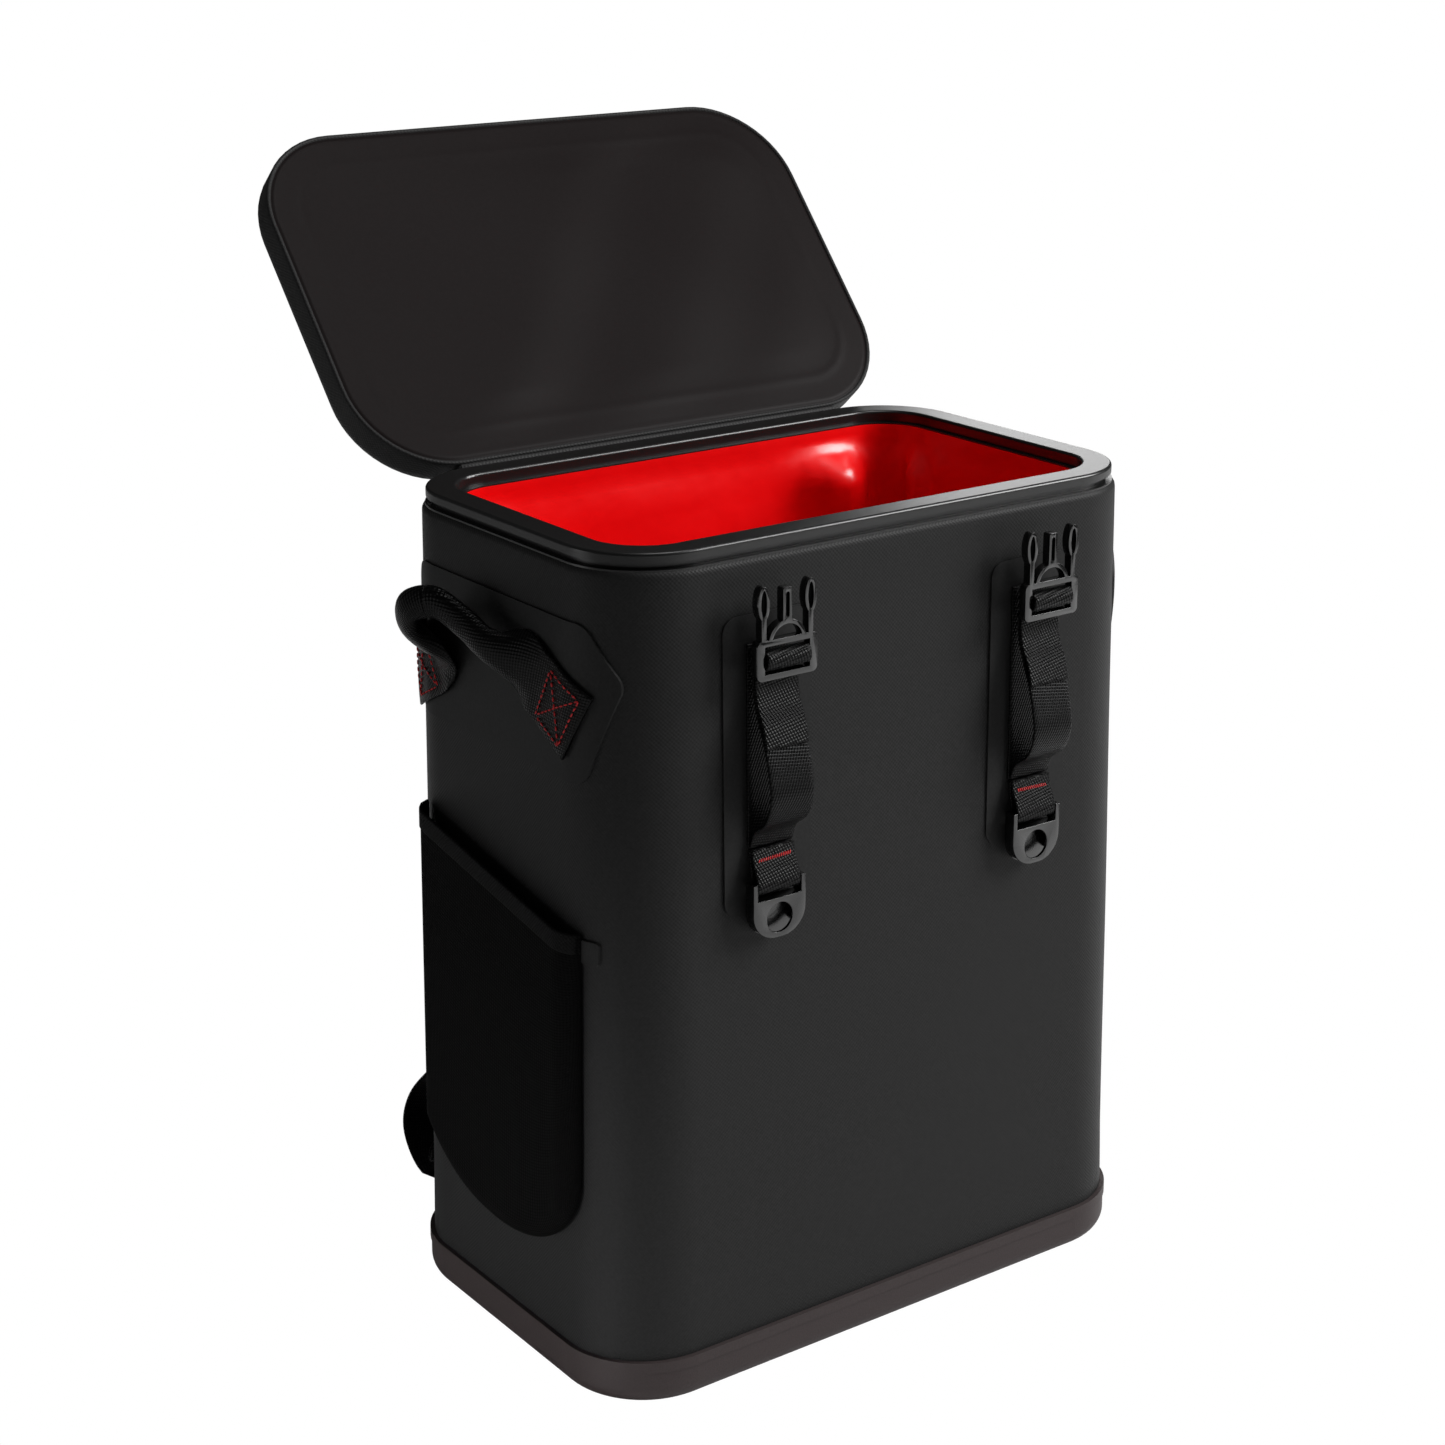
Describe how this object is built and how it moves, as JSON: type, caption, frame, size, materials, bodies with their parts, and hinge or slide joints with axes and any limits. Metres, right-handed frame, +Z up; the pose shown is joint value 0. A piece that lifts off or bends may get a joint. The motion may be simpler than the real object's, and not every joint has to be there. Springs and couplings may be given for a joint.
{
  "type": "soft cooler backpack",
  "caption": "Soft-sided insulated cooler backpack with a hinged open lid, red liner, side grab handles, mesh side pockets, buckled front straps and padded shoulder straps.",
  "frame": {"origin": "middle of the base underside, on the surface that it stands on", "axes": "+Z up, -Y toward the front with the latch straps, +X toward the wearer's left side"},
  "size_m": [0.4194, 0.4108, 0.6125],
  "materials": {
    "moulded_boot": "matte moulded",
    "coated_fabric": "matte coated weave",
    "foam": "closed-cell foam",
    "red_liner": "glossy welded film",
    "collar_plastic": "satin moulded",
    "lid_panel": "satin film",
    "seal_rubber": "satin",
    "webbing": "shiny twill",
    "buckle_plastic": "glossy moulded",
    "pocket_mesh": "ribbed mesh",
    "pad_fabric": "padded spacer mesh"
  },
  "bodies": {
    "tub": {"adjuster_left": "buckle_plastic", "adjuster_right": "buckle_plastic", "back_pad": "pad_fabric", "base_boot": "moulded_boot", "daisy_chain_left": "webbing", "daisy_chain_right": "webbing", "floor_foam": "foam", "front_patch_left": "coated_fabric", "front_patch_right": "coated_fabric", "handle_front_tab_left": "webbing", "handle_front_tab_right": "webbing", "handle_patch_left": "coated_fabric", "handle_patch_right": "coated_fabric", "handle_rear_tab_left": "webbing", "handle_rear_tab_right": "webbing", "hinge_strip": "coated_fabric", "inner_liner": "red_liner", "latch_strap_left": "webbing", "latch_strap_right": "webbing", "lower_anchor_left": "coated_fabric", "lower_anchor_right": "coated_fabric", "lower_tab_left": "webbing", "lower_tab_right": "webbing", "lower_webbing_left": "webbing", "lower_webbing_right": "webbing", "mesh_pocket_left": "pocket_mesh", "mesh_pocket_right": "pocket_mesh", "outer_shell": "coated_fabric", "pocket_binding_left": "webbing", "pocket_binding_right": "webbing", "pocket_tab_left": "coated_fabric", "pocket_tab_right": "coated_fabric", "rim_collar": "collar_plastic", "shoulder_pad_left": "pad_fabric", "shoulder_pad_right": "pad_fabric", "wall_foam": "foam"},
    "lid": {"lid_shell": "coated_fabric", "lid_panel": "lid_panel", "lid_foam": "foam", "lid_seal": "seal_rubber", "lid_tab_left": "webbing", "lid_tab_right": "webbing"},
    "male_buckle_left": {"male_buckle_left": "buckle_plastic"},
    "lower_buckle_left": {"lower_buckle_left": "buckle_plastic"},
    "lid_buckle_left": {"lid_buckle_left": "buckle_plastic"},
    "handle_left": {"handle_grip_left": "webbing"},
    "male_buckle_right": {"male_buckle_right": "buckle_plastic"},
    "lower_buckle_right": {"lower_buckle_right": "buckle_plastic"},
    "lid_buckle_right": {"lid_buckle_right": "buckle_plastic"},
    "handle_right": {"handle_grip_right": "webbing"}
  },
  "joints": [
    {"name": "lid_hinge", "type": "hinge", "parent": "tub", "child": "lid", "pos_m": [0, 0.1105, 0.4531], "axis": [1, 0, 0], "range_deg": [0, 131]},
    {"name": "male_buckle_left_tilt", "type": "hinge", "parent": "tub", "child": "male_buckle_left", "pos_m": [-0.085, -0.12256, 0.397], "axis": [1, 0, 0], "range_deg": [-10, 10]},
    {"name": "lower_buckle_left_swing", "type": "hinge", "parent": "tub", "child": "lower_buckle_left", "pos_m": [-0.085, -0.11598, 0.277], "axis": [-1, 0, 0], "range_deg": [0, 60]},
    {"name": "lid_buckle_left_swing", "type": "hinge", "parent": "lid", "child": "lid_buckle_left", "pos_m": [-0.085, 0.27607, 0.60427], "axis": [1, 0, 0], "range_deg": [0, 229]},
    {"name": "handle_left_swing", "type": "hinge", "parent": "tub", "child": "handle_left", "pos_m": [-0.18563, -0.018, 0.391], "axis": [-0.0797, 0.9891, -0.1236], "range_deg": [-10, 10]},
    {"name": "male_buckle_right_tilt", "type": "hinge", "parent": "tub", "child": "male_buckle_right", "pos_m": [0.085, -0.12256, 0.397], "axis": [1, 0, 0], "range_deg": [-10, 10]},
    {"name": "lower_buckle_right_swing", "type": "hinge", "parent": "tub", "child": "lower_buckle_right", "pos_m": [0.085, -0.11598, 0.277], "axis": [-1, 0, 0], "range_deg": [0, 60]},
    {"name": "lid_buckle_right_swing", "type": "hinge", "parent": "lid", "child": "lid_buckle_right", "pos_m": [0.085, 0.27607, 0.60427], "axis": [1, 0, 0], "range_deg": [0, 229]},
    {"name": "handle_right_swing", "type": "hinge", "parent": "tub", "child": "handle_right", "pos_m": [0.18563, -0.018, 0.391], "axis": [0.0797, 0.9891, -0.1236], "range_deg": [-10, 10]}
  ]
}
